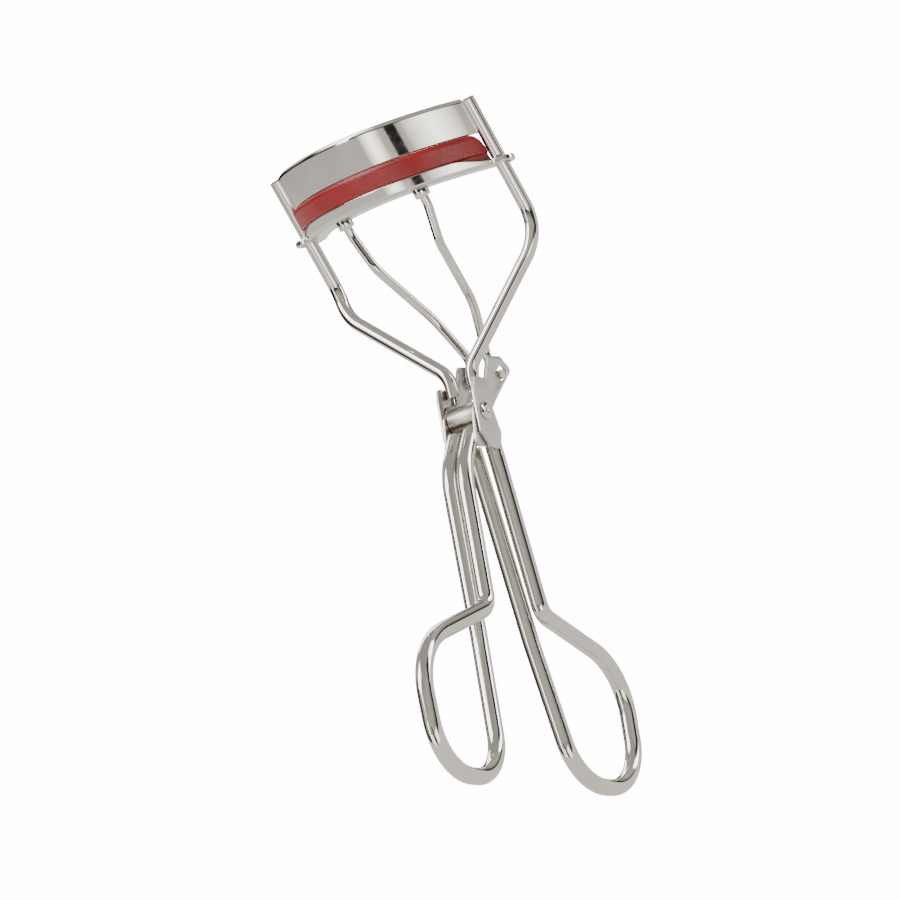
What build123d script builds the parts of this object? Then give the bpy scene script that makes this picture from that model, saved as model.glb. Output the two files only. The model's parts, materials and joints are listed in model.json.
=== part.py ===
from build123d import *

import os
from math import asin, cos, degrees, radians, sin

# Scissor eyelash curler, jaws closed. Units are millimetres.
# +X runs along the pivot axis, +Z is the way the jaw closes, -Y is the bowed front of the jaws.
# The origin is on the floor below the middle of the whole object.

# where the pivot stands above the origin, and the lean of the handles from the jaw's travel
PIVOT_Y = 17.798
PIVOT_Z = 61.858
LEAN = 33.0

# wires
HANDLE_WIRE_R = 1.35
FRAME_WIRE_R = 1.1
ROD_R = 0.75

# handle, in its own plane: distance down from the pivot, distance out from the middle line
NECK = (31.6, 7.4)
SHOULDER = (38.8, 27.9)
LOOP_OUTER = (58.2, 27.0)
LOOP_INNER = (58.2, 10.4)
LOOP_START = (35.2, 7.1)
NECK_BEND_R = 3.0
SHOULDER_R = 10.5
LOOP_R = 8.4
INNER_BEND_R = 40.0
CROSSING_X = 1.4

# ears: flat plates that carry the wires and turn on the rivet
EAR_T = 0.5
FRONT_EAR_IN = 2.55
BACK_EAR_IN = 3.1
RIVET_R = 1.0
RIVET_HEAD_R = 1.45
RIVET_HEAD_T = 0.45
RIVET_CLEARANCE = 0.04
BARREL_R = 2.0

# push rod hook: where it sits in the front ears at rest, and the play that lets the jaw run straight
HOOK_Y = 10.1
HOOK_Z = 1.8
HOOK_SLOT_W = 1.9
HOOK_TRAVEL = 1.0
HOOK_X = 1.7
HOOK_END_X = 3.5

# jaws, heights above the pivot at their ends, where the frame wires are
WIRE_X = 18.7
WIRE_Y = 14.9
WIRE_TOP_Z = 43.0
JAW_TILT = 22.0
ARC_CENTRE = 14.2
UPPER_LIP_Z = 37.3
UPPER_HEIGHT = 6.1
UPPER_R = 23.4
UPPER_T = 0.7
FLANGE_DEPTH = 1.7
CHANNEL_R = 24.2
CHANNEL_FLOOR_Z = 31.6
CHANNEL_HEIGHT = 2.1
CHANNEL_WIDTH = 3.6
CHANNEL_WALL = 0.55
PAD_TOP_Z = 37.15
PAD_FIT = 0.05
PAD_END = -1.5
EYELET_IN_R = 1.5
EYELET_OUT_R = 2.5
EYELET_LOW_Z = 31.6
EYELET_HEIGHT = 0.9
FOOT_X = 7.4

os.makedirs("parts", exist_ok=True)

PIVOT = Vector(0, PIVOT_Y, PIVOT_Z)
# middle line of the handles: up along it, and back from it
UP = Vector(0, sin(radians(LEAN)), cos(radians(LEAN)))
BACK = Vector(0, cos(radians(LEAN)), -sin(radians(LEAN)))


def at(x, y, z):
    """A point given by its place from the pivot."""
    return PIVOT + Vector(x, y, z)


def lean(x, back, up):
    """A point given along the leaning middle line of the handles."""
    return PIVOT + Vector(x, 0, 0) + BACK * back + UP * up


def side_plane(x):
    """The leaning side view at x: sketch x is back, sketch y is up the middle line."""
    return Plane(origin=PIVOT + Vector(x, 0, 0), x_dir=BACK, z_dir=(1, 0, 0))


def jaw_plane(height):
    """The tilted plane of a jaw edge, its origin midway between the frame wires."""
    normal = (0, sin(radians(JAW_TILT)), cos(radians(JAW_TILT)))
    return Plane(origin=at(0, WIRE_Y, height), x_dir=(1, 0, 0), z_dir=normal)


def start_plane(path):
    """The plane square to the start of a path, for its section."""
    return Plane(origin=path @ 0, z_dir=path % 0)


# ---- handles: each is one wire, bent into a finger loop that starts and ends at the ears ----

def handle_points(side, top_x, top, bend):
    """The handle's route: side is -1 for the front handle and 1 for the back one."""
    top_down, top_out = top
    inner = [lean(-top_x, side * out, -down) for down, out in bend]
    outer = [lean(top_x, side * out, -down) for down, out in bend]
    return (
        [lean(top_x, side * top_out, -top_down)] + outer
        + [
            lean(CROSSING_X, side * NECK[1], -NECK[0]),
            lean(CROSSING_X * 0.6, side * SHOULDER[1], -SHOULDER[0]),
            lean(CROSSING_X * 0.2, side * LOOP_OUTER[1], -LOOP_OUTER[0]),
            lean(-CROSSING_X * 0.2, side * LOOP_INNER[1], -LOOP_INNER[0]),
            lean(-CROSSING_X, side * LOOP_START[1], -LOOP_START[0]),
        ]
        + inner + [lean(-top_x, side * top_out, -top_down)]
    )


def build_handle(side, top_x, top, bend, ear_in):
    """One handle wire, with a flat on each end where it is brazed to its ear."""
    with BuildPart() as handle:
        with BuildLine():
            bend_radii = [12.0] * len(bend)
            loop_radii = [NECK_BEND_R, SHOULDER_R, LOOP_R, LOOP_R, INNER_BEND_R]
            path = FilletPolyline(
                *handle_points(side, top_x, top, bend),
                radius=bend_radii + loop_radii + bend_radii,
            )
        with BuildSketch(start_plane(path)):
            Circle(HANDLE_WIRE_R)
        sweep(path=path)
        with BuildSketch(side_plane(-20)):
            Rectangle(40, 40)
        extrude(amount=20 - ear_in, mode=Mode.SUBTRACT)
        with BuildSketch(side_plane(ear_in)):
            Rectangle(40, 40)
        extrude(amount=20 - ear_in, mode=Mode.SUBTRACT)
    return handle


front_handle = build_handle(-1, 1.4, (3.2, 2.0), [(9.5, 6.2)], FRONT_EAR_IN)
front_handle.part.label = "front_handle"
export_step(front_handle.part, "parts/front_handle.step")

back_handle = build_handle(1, 1.85, (4.2, 2.9), [], BACK_EAR_IN)
back_handle.part.label = "back_handle"
export_step(back_handle.part, "parts/back_handle.step")


# ---- ears: the back pair carries the frame, the front pair carries the push rods ----

def build_ear(outline, corner_r, inner_x, side):
    """A flat plate whose inner face is inner_x from the middle, drilled for the rivet."""
    low_x = inner_x if side > 0 else -inner_x - EAR_T
    with BuildPart() as ear:
        with BuildSketch(side_plane(low_x)):
            with BuildLine():
                FilletPolyline(*outline, radius=corner_r, close=True)
            make_face()
            Circle(RIVET_R + RIVET_CLEARANCE, mode=Mode.SUBTRACT)
        extrude(amount=EAR_T)
    return ear


HOOK_BACK = HOOK_Y * cos(radians(LEAN)) - HOOK_Z * sin(radians(LEAN))
HOOK_UP = HOOK_Y * sin(radians(LEAN)) + HOOK_Z * cos(radians(LEAN))
HOOK_ANGLE = degrees(asin(HOOK_UP / (HOOK_BACK**2 + HOOK_UP**2) ** 0.5))

BACK_EAR = [
    (-1.4, 5.6), (-2.1, 3.3), (-2.4, -3.6), (-0.4, -5.9), (2.4, -5.9), (3.4, -3.2), (2.4, 0.6),
    (2.5, 5.6),
]
FRONT_EAR = [
    (2.2, -0.2), (0.6, -5.6), (-3.6, -5.9), (-2.3, 0.4), (-0.3, 2.7), (2.2, 3.0), (2.4, 5.0),
    (4.7, 9.8), (8.4, 10.2), (10.9, 8.2), (4.2, 2.0),
]

for side, name in ((-1, "left"), (1, "right")):
    back_ear = build_ear(BACK_EAR, 0.8, BACK_EAR_IN, side)
    back_ear.part.label = f"back_ear_{name}"
    export_step(back_ear.part, f"parts/back_ear_{name}.step")

    with BuildPart() as front_ear:
        add(build_ear(FRONT_EAR, 0.7, FRONT_EAR_IN, side).part)
        low_x = FRONT_EAR_IN if side > 0 else -FRONT_EAR_IN - EAR_T
        with BuildSketch(side_plane(low_x)):
            with Locations(Location((HOOK_BACK, HOOK_UP), HOOK_ANGLE)):
                with Locations((HOOK_TRAVEL / 2, 0)):
                    SlotCenterToCenter(HOOK_TRAVEL, HOOK_SLOT_W)
        extrude(amount=EAR_T, mode=Mode.SUBTRACT)
    front_ear.part.label = f"front_ear_{name}"
    export_step(front_ear.part, f"parts/front_ear_{name}.step")


# ---- pivot: a rivet through both pairs of ears, and the barrel that keeps them apart ----

rivet_half = BACK_EAR_IN + EAR_T
with BuildPart() as pivot_rivet:
    with BuildSketch(side_plane(-rivet_half)):
        Circle(RIVET_R)
    extrude(amount=2 * rivet_half)
    with BuildSketch(side_plane(rivet_half)):
        Circle(RIVET_HEAD_R)
    right_head = extrude(amount=RIVET_HEAD_T)
    with BuildSketch(side_plane(-rivet_half)):
        Circle(RIVET_HEAD_R)
    left_head = extrude(amount=-RIVET_HEAD_T)
    rims = pivot_rivet.edges().filter_by(GeomType.CIRCLE)
    fillet([rims.sort_by(Axis.X)[0], rims.sort_by(Axis.X)[-1]], RIVET_HEAD_T * 0.8)
pivot_rivet.part.label = "pivot_rivet"
export_step(pivot_rivet.part, "parts/pivot_rivet.step")

barrel_half = FRONT_EAR_IN - 0.05
with BuildPart() as pivot_barrel:
    with BuildSketch(side_plane(-barrel_half)):
        Circle(BARREL_R)
        Circle(RIVET_R, mode=Mode.SUBTRACT)
    extrude(amount=2 * barrel_half)
pivot_barrel.part.label = "pivot_barrel"
export_step(pivot_barrel.part, "parts/pivot_barrel.step")


# ---- frame: two wires from the back ears up past both jaws ----

def frame_points(side):
    """From the ear up the middle line, out to the jaw's width, then along the jaw's travel."""
    return [
        lean(side * 2.1, 0.9, 4.0),
        lean(side * 2.1, 0.6, 7.6),
        lean(side * 18.1, 0.4, 22.6),
        at(side * WIRE_X, WIRE_Y, 22.4),
        at(side * WIRE_X, WIRE_Y, WIRE_TOP_Z),
    ]


for side, name in ((-1, "left"), (1, "right")):
    with BuildPart() as frame_wire:
        with BuildLine():
            path = FilletPolyline(*frame_points(side), radius=[4.0, 7.5, 7.0])
        with BuildSketch(start_plane(path)):
            Circle(FRAME_WIRE_R)
        sweep(path=path)
        with BuildSketch(side_plane(side * BACK_EAR_IN)):
            Rectangle(16, 16)
        extrude(amount=side * 2, mode=Mode.SUBTRACT)
        chamfer(frame_wire.faces().sort_by(Axis.Z)[-1].edges(), 0.2)
    frame_wire.part.label = f"frame_wire_{name}"
    export_step(frame_wire.part, f"parts/frame_wire_{name}.step")


# ---- upper jaw: a bowed strip between the frame wires, its top edge bent back ----

def bowed_strip(outer_r, width, end):
    """Face of a band bowed to the front, cut off level with end, in a jaw plane's own sketch."""
    with BuildSketch() as strip:
        with Locations((0, ARC_CENTRE)):
            Circle(outer_r)
            Circle(outer_r - width, mode=Mode.SUBTRACT)
        with Locations((0, end)):
            Rectangle(60, 60, align=(Align.CENTER, Align.MIN), mode=Mode.SUBTRACT)
    return strip.sketch


TRAVEL = (0, 0, 1)
NORMAL = Axis((0, 0, 0), (0, sin(radians(JAW_TILT)), cos(radians(JAW_TILT))))

with BuildPart() as upper_jaw:
    with BuildSketch(jaw_plane(UPPER_LIP_Z)):
        add(bowed_strip(UPPER_R, UPPER_T, 0))
    extrude(amount=UPPER_HEIGHT, dir=TRAVEL)
    with BuildSketch(jaw_plane(UPPER_LIP_Z + UPPER_HEIGHT - UPPER_T)):
        add(bowed_strip(UPPER_R, FLANGE_DEPTH, -0.5))
    extrude(amount=UPPER_T, dir=TRAVEL)
    top_arcs = upper_jaw.faces().sort_by(NORMAL)[-1].edges().filter_by(GeomType.CIRCLE)
    fillet(top_arcs.sort_by(SortBy.LENGTH)[-1], 0.9)
    with BuildSketch(Plane.XY.offset(PIVOT_Z + 30)):
        with Locations((-WIRE_X, PIVOT_Y + WIRE_Y), (WIRE_X, PIVOT_Y + WIRE_Y)):
            Circle(FRAME_WIRE_R)
    extrude(amount=20, mode=Mode.SUBTRACT)
upper_jaw.part.label = "upper_jaw"
export_step(upper_jaw.part, "parts/upper_jaw.step")


# ---- lower jaw: a channel for the pad, with an eyelet at each end that runs on the frame ----

pad_r = CHANNEL_R - CHANNEL_WALL
pad_w = CHANNEL_WIDTH - 2 * CHANNEL_WALL
wall_tops = [(12.4, 34.7), (13.4, 33.2), (18.0, 31.9), (18.0, 40.0), (12.4, 40.0)]
foot_r = CHANNEL_R - CHANNEL_WIDTH / 2
foot_y = WIRE_Y + (ARC_CENTRE - (foot_r**2 - FOOT_X**2) ** 0.5) * cos(radians(JAW_TILT))

with BuildPart() as lower_jaw:
    with BuildSketch(jaw_plane(CHANNEL_FLOOR_Z)):
        add(bowed_strip(CHANNEL_R, CHANNEL_WIDTH, 0.2))
    extrude(amount=CHANNEL_HEIGHT, dir=TRAVEL)
    with BuildSketch(Plane(origin=at(-30, 0, 0), x_dir=(0, 1, 0), z_dir=(1, 0, 0))):
        with BuildLine():
            Polyline(*wall_tops, close=True)
        make_face()
    extrude(amount=60, mode=Mode.SUBTRACT)
    with BuildSketch(jaw_plane(EYELET_LOW_Z)):
        with Locations((-WIRE_X, 0), (WIRE_X, 0)):
            Circle(EYELET_OUT_R)
    extrude(amount=EYELET_HEIGHT)
    with BuildSketch(jaw_plane(CHANNEL_FLOOR_Z + CHANNEL_WALL)):
        add(bowed_strip(pad_r, pad_w, PAD_END + PAD_FIT))
    extrude(amount=CHANNEL_HEIGHT, dir=TRAVEL, mode=Mode.SUBTRACT)
    with BuildSketch(Plane.XY.offset(PIVOT_Z + 25)):
        with Locations((-WIRE_X, PIVOT_Y + WIRE_Y), (WIRE_X, PIVOT_Y + WIRE_Y)):
            Circle(EYELET_IN_R)
        with Locations((-FOOT_X, PIVOT_Y + foot_y), (FOOT_X, PIVOT_Y + foot_y)):
            Circle(ROD_R)
    extrude(amount=20, mode=Mode.SUBTRACT)
lower_jaw.part.label = "lower_jaw"
export_step(lower_jaw.part, "parts/lower_jaw.step")

with BuildPart() as curling_pad:
    with BuildSketch(jaw_plane(CHANNEL_FLOOR_Z + CHANNEL_WALL)):
        add(bowed_strip(pad_r - PAD_FIT, pad_w - 2 * PAD_FIT, PAD_END))
    extrude(amount=CHANNEL_HEIGHT, dir=TRAVEL)
    with BuildSketch(jaw_plane(CHANNEL_FLOOR_Z + CHANNEL_HEIGHT + PAD_FIT)):
        add(bowed_strip(CHANNEL_R - PAD_FIT, CHANNEL_WIDTH - 2 * PAD_FIT, PAD_END))
    extrude(amount=PAD_TOP_Z - CHANNEL_FLOOR_Z - CHANNEL_HEIGHT - PAD_FIT, dir=TRAVEL)
    top_edges = curling_pad.faces().sort_by(NORMAL)[-1].edges()
    fillet(top_edges, 0.8)
curling_pad.part.label = "curling_pad"
export_step(curling_pad.part, "parts/curling_pad.step")


# ---- push rods: from the lower jaw down to the front ears ----

def rod_points(side):
    """From the jaw straight down, back round the frame, then out sideways through the ear."""
    return [
        at(side * FOOT_X, foot_y, 34.4),
        at(side * FOOT_X, foot_y, 31.6),
        at(side * 6.2, foot_y - 0.5, 25.4),
        at(side * 3.9, 11.9, 13.6),
        at(side * HOOK_X, 11.7, 5.8),
        at(side * HOOK_X, HOOK_Y, HOOK_Z),
        at(side * HOOK_END_X, HOOK_Y, HOOK_Z),
    ]


for side, name in ((-1, "left"), (1, "right")):
    with BuildPart() as push_rod:
        with BuildLine():
            path = FilletPolyline(*rod_points(side), radius=[8.0, 6.0, 12.0, 4.0, 0.9])
        with BuildSketch(start_plane(path)):
            Circle(ROD_R)
        sweep(path=path)
    push_rod.part.label = f"push_rod_{name}"
    export_step(push_rod.part, f"parts/push_rod_{name}.step")

    with BuildPart() as rod_foot:
        with BuildSketch(Plane.XY.offset(PIVOT_Z + 33)):
            with Locations((side * FOOT_X, PIVOT_Y + foot_y)):
                Circle(1.3)
                Circle(ROD_R + 0.02, mode=Mode.SUBTRACT)
        extrude(amount=2.5)
        with BuildSketch(jaw_plane(CHANNEL_FLOOR_Z)):
            Rectangle(60, 60)
        extrude(amount=10, mode=Mode.SUBTRACT)
    rod_foot.part.label = f"rod_foot_{name}"
    export_step(rod_foot.part, f"parts/rod_foot_{name}.step")
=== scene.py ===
from math import cos, pi, radians, sin, sqrt, tan

import json

import bmesh
import bpy
from mathutils import Matrix, Vector


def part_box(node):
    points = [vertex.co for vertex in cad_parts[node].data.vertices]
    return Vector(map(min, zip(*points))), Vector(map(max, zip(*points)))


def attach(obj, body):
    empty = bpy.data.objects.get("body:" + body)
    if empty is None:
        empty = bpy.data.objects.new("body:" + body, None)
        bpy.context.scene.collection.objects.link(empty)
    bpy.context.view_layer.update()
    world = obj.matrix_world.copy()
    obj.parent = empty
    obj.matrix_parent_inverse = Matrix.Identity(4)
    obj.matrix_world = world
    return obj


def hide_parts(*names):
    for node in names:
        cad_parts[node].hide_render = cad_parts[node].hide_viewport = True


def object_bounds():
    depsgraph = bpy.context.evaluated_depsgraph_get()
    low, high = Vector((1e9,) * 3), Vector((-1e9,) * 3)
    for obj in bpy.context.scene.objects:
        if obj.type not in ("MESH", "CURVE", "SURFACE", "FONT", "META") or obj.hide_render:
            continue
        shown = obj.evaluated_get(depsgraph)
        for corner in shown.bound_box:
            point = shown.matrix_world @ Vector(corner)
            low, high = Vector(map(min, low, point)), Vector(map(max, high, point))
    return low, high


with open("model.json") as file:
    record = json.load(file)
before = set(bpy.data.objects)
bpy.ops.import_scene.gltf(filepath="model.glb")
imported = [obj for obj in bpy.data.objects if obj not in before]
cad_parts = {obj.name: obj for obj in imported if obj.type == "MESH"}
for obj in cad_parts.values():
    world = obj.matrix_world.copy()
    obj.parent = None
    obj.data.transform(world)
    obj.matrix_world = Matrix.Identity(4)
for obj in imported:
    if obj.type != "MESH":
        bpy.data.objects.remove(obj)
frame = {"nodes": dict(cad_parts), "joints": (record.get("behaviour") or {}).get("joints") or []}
cad_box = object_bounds()

# Lengths are in millimetres until a mesh is made. Heights and depths are counted from the pivot.
MM = 0.001
LEAN = radians(33)
TILT = radians(22)
HANDLE_R = 1.35
FRAME_R = 1.1
ROD_R = 0.75
WIRE_X = 18.7
WIRE_Y = 14.9
BOW_CENTRE = 14.2

FRAME_BODY = "frame"
GRIP_BODY = "front_grip"
JAW_BODY = "sliding_jaw"

pivot_joint = next(j for j in frame["joints"] if j["name"] == "handle_pivot")
PIVOT = Vector(pivot_joint["pos_m"]) / MM
UP = Vector((0, sin(LEAN), cos(LEAN)))
BACK = Vector((0, cos(LEAN), -sin(LEAN)))


def at(x, y, z):
    """A point given by its place from the pivot."""
    return PIVOT + Vector((x, y, z))


def lean(x, back, up):
    """A point given along the leaning middle line of the handles."""
    return PIVOT + Vector((x, 0, 0)) + BACK * back + UP * up


def on_bow(radius, angle, height):
    """A point of a jaw: radius and angle about the bow's centre, height where the frame wires stand."""
    depth = BOW_CENTRE - radius * cos(angle)
    return at(radius * sin(angle), WIRE_Y + depth * cos(TILT), height - depth * sin(TILT))


def smooth_step(value, low, high):
    t = min(max((value - low) / (high - low), 0.0), 1.0)
    return t * t * (3 - 2 * t)


# ---- finishes ----

def new_finish(name):
    """An empty node material and its shader."""
    finish = bpy.data.materials.new(name)
    finish.use_nodes = True
    nodes, links = finish.node_tree.nodes, finish.node_tree.links
    return finish, nodes, links, nodes["Principled BSDF"]


def noise(nodes, links, scale, detail, stretch=(1, 1, 1)):
    """Noise on Object coordinates; scale is in waves per metre."""
    place = nodes.new("ShaderNodeTexCoord")
    turn = nodes.new("ShaderNodeMapping")
    turn.inputs["Scale"].default_value = stretch
    wave = nodes.new("ShaderNodeTexNoise")
    wave.inputs["Scale"].default_value = scale
    wave.inputs["Detail"].default_value = detail
    links.new(place.outputs["Object"], turn.inputs["Vector"])
    links.new(turn.outputs["Vector"], wave.inputs["Vector"])
    return wave.outputs["Fac"]


def spread(nodes, links, source, low, high, out_low, out_high):
    """Stretches a value's range from low..high to out_low..out_high."""
    fit = nodes.new("ShaderNodeMapRange")
    fit.inputs["From Min"].default_value = low
    fit.inputs["From Max"].default_value = high
    fit.inputs["To Min"].default_value = out_low
    fit.inputs["To Max"].default_value = out_high
    links.new(source, fit.inputs["Value"])
    return fit.outputs["Result"]


def tint(nodes, links, source, first, second):
    """Colour that goes from first to second as source goes from 0 to 1."""
    ramp = nodes.new("ShaderNodeValToRGB")
    ramp.color_ramp.elements[0].color = (*first, 1)
    ramp.color_ramp.elements[1].color = (*second, 1)
    links.new(source, ramp.inputs["Fac"])
    return ramp.outputs["Color"]


def bump(nodes, links, height, depth_mm, below=None):
    """A bump of that depth, on top of another bump where one is given."""
    node = nodes.new("ShaderNodeBump")
    node.inputs["Strength"].default_value = 1.0
    node.inputs["Distance"].default_value = depth_mm * MM
    links.new(height, node.inputs["Height"])
    if below:
        links.new(below, node.inputs["Normal"])
    return node.outputs["Normal"]


def nickel(name, bright, dull, rough_low, rough_high, ripple):
    """Nickel plate: cloudy colour and polish, hairline scratches two ways, and a soft ripple."""
    finish, nodes, links, shader = new_finish(name)
    shader.inputs["Metallic"].default_value = 1.0
    cloud = noise(nodes, links, 190, 4)
    links.new(tint(nodes, links, spread(nodes, links, cloud, 0.35, 0.65, 0, 1), dull, bright),
              shader.inputs["Base Color"])
    polish = noise(nodes, links, 700, 6)
    links.new(spread(nodes, links, polish, 0.35, 0.7, rough_low, rough_high), shader.inputs["Roughness"])
    hairlines = noise(nodes, links, 900, 2, (1, 0.06, 6))
    cross_hairlines = noise(nodes, links, 900, 2, (6, 1, 0.08))
    waves = noise(nodes, links, 260, 1)
    first = bump(nodes, links, waves, ripple)
    second = bump(nodes, links, hairlines, 0.0012, first)
    links.new(bump(nodes, links, cross_hairlines, 0.0010, second), shader.inputs["Normal"])
    return finish


def silicone(name):
    """Red silicone rubber: deep red, a satin skin with fine grain."""
    finish, nodes, links, shader = new_finish(name)
    cloud = noise(nodes, links, 300, 4)
    links.new(tint(nodes, links, spread(nodes, links, cloud, 0.3, 0.7, 0, 1),
                   (0.19, 0.002, 0.003), (0.26, 0.0035, 0.0045)), shader.inputs["Base Color"])
    skin = noise(nodes, links, 2600, 5)
    links.new(spread(nodes, links, skin, 0.3, 0.7, 0.30, 0.50), shader.inputs["Roughness"])
    shader.inputs["Specular IOR Level"].default_value = 0.45
    shader.inputs["Coat Weight"].default_value = 0.15
    shader.inputs["Coat Roughness"].default_value = 0.25
    grain = noise(nodes, links, 5200, 3)
    swell = noise(nodes, links, 420, 2)
    first = bump(nodes, links, swell, 0.03)
    links.new(bump(nodes, links, grain, 0.006, first), shader.inputs["Normal"])
    return finish


WIRE_NICKEL = nickel("polished_nickel_wire", (0.64, 0.605, 0.55), (0.57, 0.54, 0.49), 0.05, 0.13, 0.004)
JAW_NICKEL = nickel("polished_nickel_sheet", (0.66, 0.625, 0.57), (0.60, 0.57, 0.52), 0.05, 0.12, 0.006)
EAR_NICKEL = nickel("satin_nickel_sheet", (0.56, 0.54, 0.50), (0.49, 0.47, 0.44), 0.22, 0.36, 0.004)
BARREL_NICKEL = nickel("dull_nickel_barrel", (0.42, 0.38, 0.33), (0.33, 0.29, 0.25), 0.25, 0.40, 0.005)
PAD_RED = silicone("red_silicone")


# ---- making pieces ----

def link_piece(name, mesh):
    piece = bpy.data.objects.new(name, mesh)
    bpy.context.scene.collection.objects.link(piece)
    return piece


def to_plain(piece):
    """Turns what the piece's modifiers make into its own plain mesh."""
    depsgraph = bpy.context.evaluated_depsgraph_get()
    mesh = bpy.data.meshes.new_from_object(piece.evaluated_get(depsgraph))
    piece.modifiers.clear()
    old = piece.data
    piece.data = mesh
    bpy.data.meshes.remove(old)
    return piece


def ease_edges(piece, width_mm, segments, sharpest):
    """Rounds the sharp edges, as rolling and plating do."""
    round_off = piece.modifiers.new("eased_edges", "BEVEL")
    round_off.width = width_mm * MM
    round_off.segments = segments
    round_off.limit_method = "ANGLE"
    round_off.angle_limit = radians(sharpest)
    round_off.harden_normals = True
    for face in piece.data.polygons:
        face.use_smooth = True
    return to_plain(piece)


def stand_for(piece, node, body):
    """The piece rides on the body in place of the CAD node."""
    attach(piece, body)
    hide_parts(node)
    return piece


def bent_wire_tree():
    """Geometry Nodes: a route of straight runs, its corners rounded, given a round section."""
    tree = bpy.data.node_groups.new("bent_wire", "GeometryNodeTree")
    sockets = tree.interface
    sockets.new_socket("Route", in_out="INPUT", socket_type="NodeSocketGeometry")
    sockets.new_socket("Wire radius", in_out="INPUT", socket_type="NodeSocketFloat")
    sockets.new_socket("Corner steps", in_out="INPUT", socket_type="NodeSocketInt")
    sockets.new_socket("Sides", in_out="INPUT", socket_type="NodeSocketInt")
    sockets.new_socket("Finish", in_out="INPUT", socket_type="NodeSocketMaterial")
    sockets.new_socket("Wire", in_out="OUTPUT", socket_type="NodeSocketGeometry")
    add = tree.nodes.new
    start, end = add("NodeGroupInput"), add("NodeGroupOutput")
    to_curve, corner, section = add("GeometryNodeMeshToCurve"), add("GeometryNodeFilletCurve"), add(
        "GeometryNodeCurvePrimitiveCircle")
    bend, sweep = add("GeometryNodeInputNamedAttribute"), add("GeometryNodeCurveToMesh")
    smooth, real, paint = add("GeometryNodeSetShadeSmooth"), add("GeometryNodeRealizeInstances"), add(
        "GeometryNodeSetMaterial")
    bend.data_type = "FLOAT"
    bend.inputs["Name"].default_value = "bend_radius"
    corner.mode = "POLY"
    sweep.inputs["Fill Caps"].default_value = True
    join = tree.links.new
    join(start.outputs["Route"], to_curve.inputs["Mesh"])
    join(to_curve.outputs["Curve"], corner.inputs["Curve"])
    join(start.outputs["Corner steps"], corner.inputs["Count"])
    join(bend.outputs["Attribute"], corner.inputs["Radius"])
    join(start.outputs["Sides"], section.inputs["Resolution"])
    join(start.outputs["Wire radius"], section.inputs["Radius"])
    join(corner.outputs["Curve"], sweep.inputs["Curve"])
    join(section.outputs["Curve"], sweep.inputs["Profile Curve"])
    join(sweep.outputs["Mesh"], smooth.inputs["Geometry"])
    join(smooth.outputs["Geometry"], real.inputs["Geometry"])
    join(real.outputs["Geometry"], paint.inputs["Geometry"])
    join(start.outputs["Finish"], paint.inputs["Material"])
    join(paint.outputs["Geometry"], end.inputs["Wire"])
    return tree


BENT_WIRE = bent_wire_tree()
WIRE_SIDES = 40


def bent_wire(name, points, radii, wire_r, corner_steps=38, end_ease=0.2):
    """A wire along the points, its corners bent to the radii, its two ends eased."""
    mesh = bpy.data.meshes.new(name)
    mesh.from_pydata([p * MM for p in points], [(i, i + 1) for i in range(len(points) - 1)], [])
    bend = mesh.attributes.new("bend_radius", "FLOAT", "POINT")
    for i, radius in enumerate([0.0, *radii, 0.0]):
        bend.data[i].value = radius * MM
    piece = link_piece(name, mesh)
    modifier = piece.modifiers.new("wire", "NODES")
    modifier.node_group = BENT_WIRE
    values = {
        "Wire radius": wire_r * MM, "Corner steps": corner_steps, "Sides": WIRE_SIDES,
        "Finish": WIRE_NICKEL,
    }
    for item in BENT_WIRE.interface.items_tree:
        if item.name in values:
            modifier[item.identifier] = values[item.name]
    return ease_edges(to_plain(piece), end_ease, 3, 50)


def lofted(name, rings, finish, closed=False):
    """A skin through rings of points, each ring closed; the ends are filled unless the loft closes."""
    body = bmesh.new()
    rows = [[body.verts.new(p * MM) for p in ring] for ring in rings]
    count = len(rows[0])
    pairs = list(zip(rows, rows[1:]))
    if closed:
        pairs.append((rows[-1], rows[0]))
    for low, high in pairs:
        for i in range(count):
            j = (i + 1) % count
            body.faces.new((low[i], low[j], high[j], high[i]))
    if not closed:
        body.faces.new(list(reversed(rows[0])))
        body.faces.new(rows[-1])
    bmesh.ops.recalc_face_normals(body, faces=body.faces)
    mesh = bpy.data.meshes.new(name)
    body.to_mesh(mesh)
    body.free()
    for face in mesh.polygons:
        face.use_smooth = True
    mesh.materials.append(finish)
    return link_piece(name, mesh)


HOLD_GAP = 0.04


def rounded(corners, radius, steps=6):
    """A closed outline whose corners are arcs, with points that hold the straight runs flat."""
    radii = radius if isinstance(radius, (list, tuple)) else [radius] * len(corners)
    outline = []
    for i, corner in enumerate(corners):
        here = Vector(corner)
        before = (Vector(corners[i - 1]) - here)
        after = (Vector(corners[(i + 1) % len(corners)]) - here)
        half = before.angle(after) / 2
        reach = radii[i] / tan(half)
        first, last = before.normalized() * reach, after.normalized() * reach
        centre = (first + last).normalized() * (radii[i] / sin(half))
        for step in range(steps + 1):
            way = (first - centre).normalized().slerp((last - centre).normalized(), step / steps)
            outline.append(here + centre + way * radii[i])
    held = []
    for i, here in enumerate(outline):
        after = outline[(i + 1) % len(outline)]
        held.append(here)
        if i % (steps + 1) == steps:
            gap = min(HOLD_GAP, (after - here).length / 3)
            run = (after - here).normalized() * gap
            held += [here + run, after - run]
    return held


def turned(name, profile, centre, axis, finish, sides=48):
    """A piece turned on an axis: profile is (radius, distance along the axis), a closed outline."""
    along = Vector(axis).normalized()
    across = along.orthogonal().normalized()
    other = along.cross(across)
    rings = []
    for i in range(sides):
        turn = 2 * pi * i / sides
        out = across * cos(turn) + other * sin(turn)
        rings.append([centre + out * r + along * h for r, h in profile])
    return lofted(name, rings, finish, closed=True)


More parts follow.
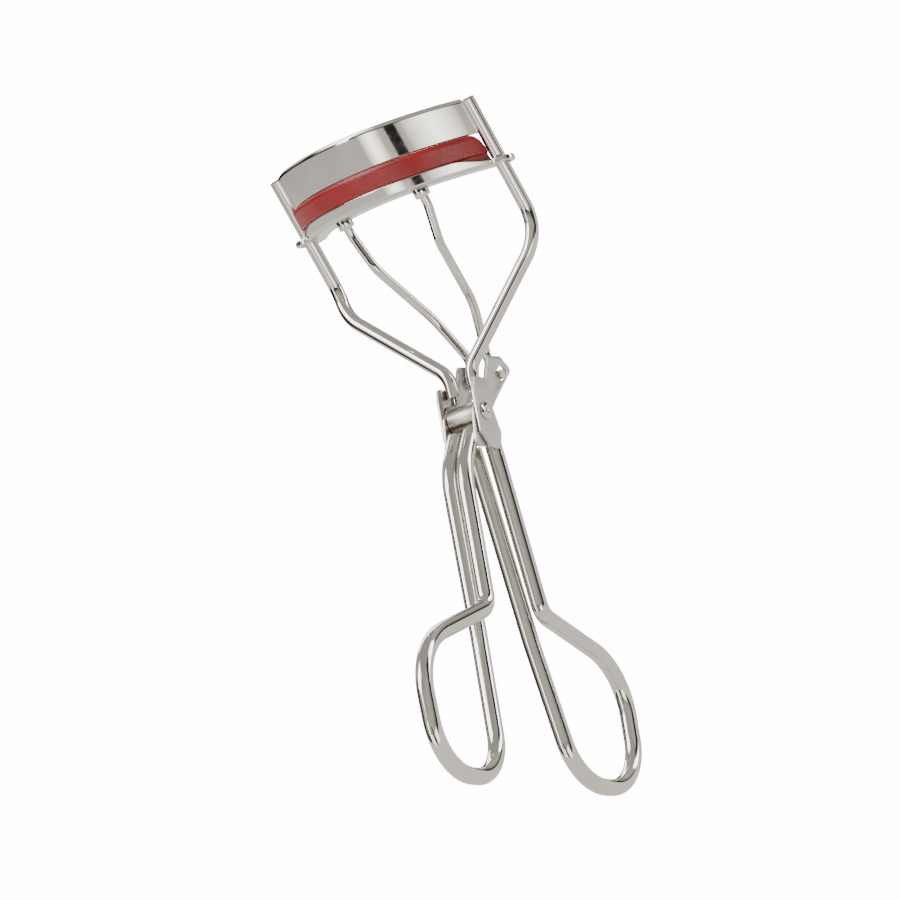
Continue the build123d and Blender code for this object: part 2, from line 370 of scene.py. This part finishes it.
def merged(name, pieces):
    """One mesh of several pieces of the same finish."""
    body = bmesh.new()
    for piece in pieces:
        body.from_mesh(piece.data)
    mesh = bpy.data.meshes.new(name)
    body.to_mesh(mesh)
    body.free()
    mesh.materials.append(pieces[0].data.materials[0])
    for piece in pieces:
        bpy.data.objects.remove(piece)
    return link_piece(name, mesh)


# ---- handles ----

CROSSING_X = 1.4
NECK, NECK_BEND = (31.6, 7.4), 3.0
SHOULDER, SHOULDER_BEND = (38.8, 27.9), 10.5
LOOP_OUTER, LOOP_INNER, LOOP_BEND = (58.2, 27.0), (58.2, 10.4), 8.4
LOOP_START, LOOP_START_BEND = (35.2, 7.1), 40.0


def handle(name, body, side, top_x, top, knee):
    """One wire from an ear round the finger loop and back; side is -1 in front and 1 behind."""
    def spot(x, place):
        return lean(x, side * place[1], -place[0])

    points = [spot(top_x, top)] + [spot(top_x, k) for k in knee] + [
        spot(CROSSING_X, NECK), spot(CROSSING_X * 0.6, SHOULDER), spot(CROSSING_X * 0.2, LOOP_OUTER),
        spot(-CROSSING_X * 0.2, LOOP_INNER), spot(-CROSSING_X, LOOP_START),
    ] + [spot(-top_x, k) for k in knee] + [spot(-top_x, top)]
    knee_bends = [12.0] * len(knee)
    bends = knee_bends + [NECK_BEND, SHOULDER_BEND, LOOP_BEND, LOOP_BEND, LOOP_START_BEND] + knee_bends
    return stand_for(bent_wire(name + "_wire", points, bends, HANDLE_R), name, body)


handle("front_handle", GRIP_BODY, -1, 1.4, (3.2, 2.0), [(9.5, 6.2)])
handle("back_handle", FRAME_BODY, 1, 1.85, (4.2, 2.9), [])


# ---- ears and pivot ----

def plate_from(node, body, edge_mm, finish):
    """A stamped plate with the CAD node's shape and rolled edges."""
    body_mesh = bmesh.new()
    body_mesh.from_mesh(frame["nodes"][node].data)
    bmesh.ops.remove_doubles(body_mesh, verts=body_mesh.verts, dist=0.002 * MM)
    bmesh.ops.dissolve_limit(body_mesh, angle_limit=radians(0.5), verts=body_mesh.verts,
                             edges=body_mesh.edges)
    mesh = bpy.data.meshes.new(node + "_plate")
    body_mesh.to_mesh(mesh)
    body_mesh.free()
    mesh.materials.clear()
    mesh.materials.append(finish)
    piece = ease_edges(link_piece(node + "_plate", mesh), edge_mm, 3, 40)
    return stand_for(piece, node, body)


for hand in ("left", "right"):
    plate_from("front_ear_" + hand, GRIP_BODY, 0.1, EAR_NICKEL)
    plate_from("back_ear_" + hand, FRAME_BODY, 0.1, EAR_NICKEL)
plate_from("pivot_barrel", FRAME_BODY, 0.12, BARREL_NICKEL)

SHANK_R, HEAD_R, HEAD_T, DIMPLE_R, DIMPLE_T = 1.0, 1.45, 0.45, 0.55, 0.16
head_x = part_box("pivot_rivet")[1].x / MM - HEAD_T
dome = [
    (head_x + HEAD_T - DIMPLE_T, 0.0), (head_x + HEAD_T - DIMPLE_T * 0.5, DIMPLE_R * 0.6),
    (head_x + HEAD_T, DIMPLE_R), (head_x + HEAD_T * 0.86, HEAD_R * 0.66),
    (head_x + HEAD_T * 0.5, HEAD_R * 0.92), (head_x + HEAD_T * 0.18, HEAD_R),
    (head_x + 0.01, HEAD_R * 0.97),
    (head_x + 0.01, SHANK_R),
]
right_side = [(max(r, 0.02), x) for x, r in dome]
rivet_outline = right_side + [(r, -x) for r, x in reversed(right_side)]
stand_for(turned("rivet_pin", rivet_outline, PIVOT, (1, 0, 0), JAW_NICKEL), "pivot_rivet", FRAME_BODY)


# ---- frame wires and push rods ----

def frame_route(side):
    return [
        lean(side * 2.1, 0.9, 4.0), lean(side * 2.1, 0.6, 7.6), lean(side * 18.1, 0.4, 22.6),
        at(side * WIRE_X, WIRE_Y, 22.4), at(side * WIRE_X, WIRE_Y, 43.0),
    ]


FOOT_X = 7.4
CHANNEL_R, CHANNEL_WIDTH = 24.2, 3.6
FOOT_Y = WIRE_Y + (BOW_CENTRE - sqrt((CHANNEL_R - CHANNEL_WIDTH / 2) ** 2 - FOOT_X ** 2)) * cos(TILT)
HOOK_Y, HOOK_Z, HOOK_X, HOOK_END_X = 10.1, 1.8, 1.7, 3.5


def rod_route(side):
    return [
        at(side * FOOT_X, FOOT_Y, 34.4), at(side * FOOT_X, FOOT_Y, 31.6),
        at(side * 6.2, FOOT_Y - 0.5, 25.4),
        at(side * 3.9, 11.9, 13.6), at(side * HOOK_X, 11.7, 5.8), at(side * HOOK_X, HOOK_Y, HOOK_Z),
        at(side * HOOK_END_X, HOOK_Y, HOOK_Z),
    ]


for side, hand in ((-1, "left"), (1, "right")):
    wire = bent_wire("frame_wire_" + hand + "_round", frame_route(side), [4.0, 7.5, 7.0], FRAME_R)
    stand_for(wire, "frame_wire_" + hand, FRAME_BODY)
    rod = bent_wire("push_rod_" + hand + "_round", rod_route(side), [8.0, 6.0, 12.0, 4.0, 0.9], ROD_R,
                    corner_steps=14, end_ease=0.15)
    stand_for(rod, "push_rod_" + hand, JAW_BODY)
    plate_from("rod_foot_" + hand, JAW_BODY, 0.12, JAW_NICKEL)


# ---- upper jaw ----

UPPER_R, UPPER_T, UPPER_LIP_Z, UPPER_HEIGHT = 23.4, 0.7, 37.3, 6.1
FLANGE_DEPTH, ROLL_R, SHEET_EDGE = 1.7, 0.85, 0.16
UPPER_END, BOW_STEPS = 0.885, 120


def upper_section(_angle):
    """Outline of the sheet, the same all along: (in from the outer face, height above the lip)."""
    top = UPPER_HEIGHT
    corners = [
        (0, 0), (0, top), (FLANGE_DEPTH, top), (FLANGE_DEPTH, top - UPPER_T), (UPPER_T, top - UPPER_T),
        (UPPER_T, 0),
    ]
    return rounded(corners, [SHEET_EDGE, ROLL_R, SHEET_EDGE * 1.5, SHEET_EDGE, 0.25, SHEET_EDGE], 7)


def bowed(section_at, outer_r, base_z, angles):
    """Rings of a section carried round the bow; section_at gives the section for an angle."""
    rings = []
    for angle in angles:
        section = section_at(angle)
        rings.append([on_bow(outer_r - depth, angle, base_z + rise) for depth, rise in section])
    return rings


def even_angles(end_angle, steps):
    return [end_angle * (2 * i / steps - 1) for i in range(steps + 1)]


plate_rings = bowed(upper_section, UPPER_R, UPPER_LIP_Z, even_angles(UPPER_END, BOW_STEPS))
plate = lofted("upper_jaw_plate", plate_rings, JAW_NICKEL)
stand_for(ease_edges(plate, 0.08, 2, 50), "upper_jaw", FRAME_BODY)


# ---- lower jaw: channel with a curled eyelet at each end ----

CHANNEL_Z, CHANNEL_HEIGHT, CHANNEL_WALL = 31.6, 2.1, 0.55
CHANNEL_END = 0.93
WALL_DROP, END_WALL = (0.60, 0.84), 1.0
FOLD_R, RIM_R = 0.5, 0.2
EYELET_IN_R, EYELET_OUT_R, EYELET_Z, EYELET_HEIGHT = 1.5, 2.3, 31.6, 0.95


def channel_section(angle):
    """The channel's outline at that angle: its walls drop away near the ends."""
    wall = CHANNEL_WALL
    drop = smooth_step(abs(angle), *WALL_DROP)
    top = CHANNEL_HEIGHT - (CHANNEL_HEIGHT - END_WALL) * drop
    corners = [
        (0, 0), (0, top), (wall, top), (wall, wall), (CHANNEL_WIDTH - wall, wall),
        (CHANNEL_WIDTH - wall, top), (CHANNEL_WIDTH, top), (CHANNEL_WIDTH, 0),
    ]
    return rounded(corners, [FOLD_R] + [RIM_R] * 6 + [FOLD_R], 5)


def eyelet(side):
    """The ring at the channel's end that runs on a frame wire, square to the tilted bow."""
    slope = Vector((0, sin(TILT), cos(TILT)))
    middle = at(side * WIRE_X, WIRE_Y, EYELET_Z) - Vector((0, EYELET_HEIGHT / 2 * sin(TILT), 0))
    outline = rounded([(EYELET_IN_R, 0), (EYELET_OUT_R, 0), (EYELET_OUT_R, EYELET_HEIGHT),
                       (EYELET_IN_R, EYELET_HEIGHT)], 0.25, 5)
    return turned("eyelet", outline, middle, slope, JAW_NICKEL, 72)


channel_rings = bowed(channel_section, CHANNEL_R, CHANNEL_Z, even_angles(CHANNEL_END, BOW_STEPS))
channel = lofted("channel", channel_rings, JAW_NICKEL)
channel = merged("lower_jaw_channel", [channel, eyelet(-1), eyelet(1)])
for face in channel.data.polygons:
    face.use_smooth = True
channel.data.set_sharp_from_angle(angle=radians(50))
stand_for(channel, "lower_jaw", JAW_BODY)


# ---- pad ----

PAD_TOP_Z, PAD_GAP = 37.22, 0.06
PAD_END, PAD_END_ROUND = 0.862, 0.06


PAD_BASE = CHANNEL_Z + CHANNEL_WALL + PAD_GAP
PAD_STEPS, PAD_END_TALL, PAD_PINCH = 150, 0.6, 0.18


def pad_section(angle):
    """The pad: a foot in the channel, a wider crown above it, rounded down at the two ends."""
    inner, outer = CHANNEL_WALL + PAD_GAP, CHANNEL_WIDTH - CHANNEL_WALL - PAD_GAP
    shelf = CHANNEL_HEIGHT - CHANNEL_WALL
    near_end = max(0.0, abs(angle) - (PAD_END - PAD_END_ROUND)) / PAD_END_ROUND
    kept = PAD_END_TALL + (1 - PAD_END_TALL) * sqrt(max(0.0, 1 - near_end ** 2))
    top = (PAD_TOP_Z - PAD_BASE) * kept
    side = PAD_GAP + PAD_PINCH * near_end ** 3
    corners = [
        (inner, 0), (inner, shelf), (side, shelf), (side, top), (CHANNEL_WIDTH - side, top),
        (CHANNEL_WIDTH - side, shelf), (outer, shelf), (outer, 0),
    ]
    return rounded(corners, [0.2, 0.1, 0.22, 0.9, 0.9, 0.22, 0.1, 0.2], 8)


pad_angles = [PAD_END * sin(pi / 2 * (2 * i / PAD_STEPS - 1)) for i in range(PAD_STEPS + 1)]
pad = lofted("curling_pad_rubber", bowed(pad_section, CHANNEL_R, PAD_BASE, pad_angles), PAD_RED)
stand_for(ease_edges(pad, 0.18, 3, 50), "curling_pad", JAW_BODY)


# ---- floor, lights and camera ----

FLOOR_WIDTH, BACKDROP_GLOW = 14, 13.0
TABLE_FADE = (0.42, 1.1)
TABLE_NEAR, TABLE_FAR = (1.25, 1.23, 1.19), (0.03, 0.03, 0.03)
CARD_RIM, CARD_MIDDLE = (1.3, 1.28, 1.25), (5.0, 4.95, 4.85)


def stage_plane(name, width, height, finish, place=(0, 0, 0), aim=None):
    """A flat card for the studio, facing aim or, with no aim, facing up."""
    mesh = bpy.data.meshes.new(name)
    w, h = width / 2, height / 2
    mesh.from_pydata([(-w, -h, 0), (w, -h, 0), (w, h, 0), (-w, h, 0)], [], [(0, 1, 2, 3)])
    mesh.materials.append(finish)
    card = link_piece(name, mesh)
    turn = Matrix.Identity(4)
    if aim is not None:
        turn = (Vector(aim) - Vector(place)).to_track_quat("Z", "Y").to_matrix().to_4x4()
    card.matrix_world = Matrix.Translation(place) @ turn
    return card


def studio_floor():
    """A white floor that the camera sees, and a grey table top, hidden from the camera, that the metal
    mirrors; the table's glow is a painted pool of light, brightest near the object and fading to black
    farther out.
    """
    finish, _, _, shader = new_finish("white_floor")
    shader.inputs["Roughness"].default_value = 0.9
    shader.inputs["Base Color"].default_value = (0.9, 0.9, 0.9, 1)
    shader.inputs["Emission Color"].default_value = (1, 1, 1, 1)
    shader.inputs["Emission Strength"].default_value = BACKDROP_GLOW
    floor = stage_plane("studio_floor", FLOOR_WIDTH, FLOOR_WIDTH, finish)
    floor.visible_glossy = floor.visible_diffuse = False

    finish, nodes, links, shader = new_finish("table_top_painted_glow")
    shader.inputs["Base Color"].default_value = (0, 0, 0, 1)
    shader.inputs["Specular IOR Level"].default_value = 0
    place, reach = nodes.new("ShaderNodeTexCoord"), nodes.new("ShaderNodeVectorMath")
    reach.operation = "LENGTH"
    links.new(place.outputs["Object"], reach.inputs[0])
    # painted pool of light: the table's glow goes from TABLE_NEAR close to the object to black TABLE_FAR
    # farther out
    near = spread(nodes, links, reach.outputs["Value"], *TABLE_FADE, 0, 1)
    links.new(tint(nodes, links, near, TABLE_NEAR, TABLE_FAR), shader.inputs["Emission Color"])
    shader.inputs["Emission Strength"].default_value = 1.0
    table = stage_plane("mirrored_table", FLOOR_WIDTH, FLOOR_WIDTH, finish, (0, 0, -0.001))
    table.visible_camera = False


def softbox(name, place, aim, width, height, power):
    """A soft rectangular light at place, in metres, facing aim."""
    data = bpy.data.lights.new(name, "AREA")
    data.shape = "RECTANGLE"
    data.size, data.size_y, data.energy = width, height, power
    lamp = bpy.data.objects.new(name, data)
    bpy.context.scene.collection.objects.link(lamp)
    away = (Vector(place) - Vector(aim)).normalized()
    lamp.matrix_world = Matrix.Translation(place) @ away.to_track_quat("Z", "Y").to_matrix().to_4x4()


def dark_card(name, place, aim, width, height):
    """A matt black card that polished metal mirrors as a dark stripe."""
    finish, _, _, shader = new_finish(name + "_black")
    shader.inputs["Base Color"].default_value = (0.01, 0.01, 0.01, 1)
    shader.inputs["Roughness"].default_value = 1.0
    card = stage_plane(name, width, height, finish, place, aim)
    card.visible_camera = False


def bright_card(name, place, aim, width, height):
    """A card that glows white, brightest along its middle, for the metal to mirror."""
    finish, nodes, links, shader = new_finish(name + "_white")
    shader.inputs["Base Color"].default_value = (0, 0, 0, 1)
    shader.inputs["Specular IOR Level"].default_value = 0
    coordinates, split = nodes.new("ShaderNodeTexCoord"), nodes.new("ShaderNodeSeparateXYZ")
    fold = nodes.new("ShaderNodeMath")
    fold.operation = "ABSOLUTE"
    links.new(coordinates.outputs["Object"], split.inputs["Vector"])
    links.new(split.outputs["X"], fold.inputs[0])
    glow = spread(nodes, links, fold.outputs["Value"], 0.0, width / 2, 1, 0)
    links.new(tint(nodes, links, glow, CARD_RIM, CARD_MIDDLE), shader.inputs["Emission Color"])
    shader.inputs["Emission Strength"].default_value = 1.0
    card = stage_plane(name, width, height, finish, place, aim)
    card.visible_camera = False


def studio_world():
    """A pale ceiling above a dark line at the horizon."""
    world = bpy.data.worlds.new("studio_surround")
    bpy.context.scene.world = world
    world.use_nodes = True
    nodes, links = world.node_tree.nodes, world.node_tree.links
    place, split = nodes.new("ShaderNodeTexCoord"), nodes.new("ShaderNodeSeparateXYZ")
    shade = nodes.new("ShaderNodeValToRGB")
    ramp = shade.color_ramp
    stops = [(0.0, 0.02), (0.07, 0.04), (0.20, 0.45), (0.45, 0.8), (0.75, 0.55)]
    while len(ramp.elements) < len(stops):
        ramp.elements.new(0.5)
    for element, (height, grey) in zip(ramp.elements, stops):
        element.position = height
        element.color = (grey, grey * 0.985, grey * 0.96, 1)
    links.new(place.outputs["Generated"], split.inputs["Vector"])
    links.new(split.outputs["Z"], shade.inputs["Fac"])
    links.new(shade.outputs["Color"], nodes["Background"].inputs["Color"])
    nodes["Background"].inputs["Strength"].default_value = 1.0


studio_floor()
studio_world()

# the camera's own axes in the object's frame
TOWARDS_CAMERA = Vector((0.51769, -0.82504, 0.22650)).normalized()
CAMERA_RIGHT = Vector((0.30824, 0.42681, 0.85019)).cross(TOWARDS_CAMERA).normalized()
CAMERA_UP = TOWARDS_CAMERA.cross(CAMERA_RIGHT)
CAMERA_DISTANCE = 0.709
CAMERA_LENS = 184.0
AIM = (PIVOT - CAMERA_RIGHT * 2.58 - CAMERA_UP * 4.96) * MM

middle = (Vector(cad_box[0]) + Vector(cad_box[1])) / 2
front = Vector((TOWARDS_CAMERA.x, TOWARDS_CAMERA.y, 0)).normalized()
beside = Vector((-front.y, front.x, 0))
softbox("key_light", middle + Vector((0, 0, 0.75)) - beside * 0.55 + front * 0.1, middle, 0.6, 0.6, 9)
softbox("right_light", middle + beside * 0.9 + Vector((0, 0, 0.18)), middle, 0.25, 0.7, 5)
softbox("left_light", middle - beside * 0.9 + front * 0.5 + Vector((0, 0, 0.2)), middle, 0.2, 0.8, 3)
softbox("back_light", middle - front * 0.9 + Vector((0, 0, 0.5)), middle, 0.9, 0.5, 6)
JAWS_Y = (PIVOT.y + 6.0) * MM


def standing_card(make, name, azimuth, reach, width, low, high):
    """A card that faces the jaws: azimuth turns from the front to the right, low and high are heights."""
    way = Vector((sin(radians(azimuth)), -cos(radians(azimuth)), 0))
    aim = Vector((0, JAWS_Y, (low + high) / 2))
    make(name, aim + way * reach, aim, width, high - low)


standing_card(dark_card, "front_card", 10, 0.30, 0.045, 0.0, 0.15)
standing_card(dark_card, "left_card", -70, 0.34, 0.12, 0.07, 0.30)
standing_card(dark_card, "right_card", 95, 0.34, 0.10, 0.0, 0.30)
standing_card(bright_card, "bright_right_card", 40, 0.33, 0.26, 0.0, 0.09)
standing_card(bright_card, "bright_left_card", -8, 0.33, 0.09, 0.0, 0.09)

camera_data = bpy.data.cameras.new("camera")
camera_data.lens = CAMERA_LENS
camera_data.sensor_width = 36
camera_data.clip_start = 0.01
camera = bpy.data.objects.new("camera", camera_data)
bpy.context.scene.collection.objects.link(camera)
turn = Matrix((CAMERA_RIGHT, CAMERA_UP, TOWARDS_CAMERA)).transposed().to_4x4()
camera.matrix_world = Matrix.Translation(AIM + TOWARDS_CAMERA * CAMERA_DISTANCE) @ turn
bpy.context.scene.camera = camera
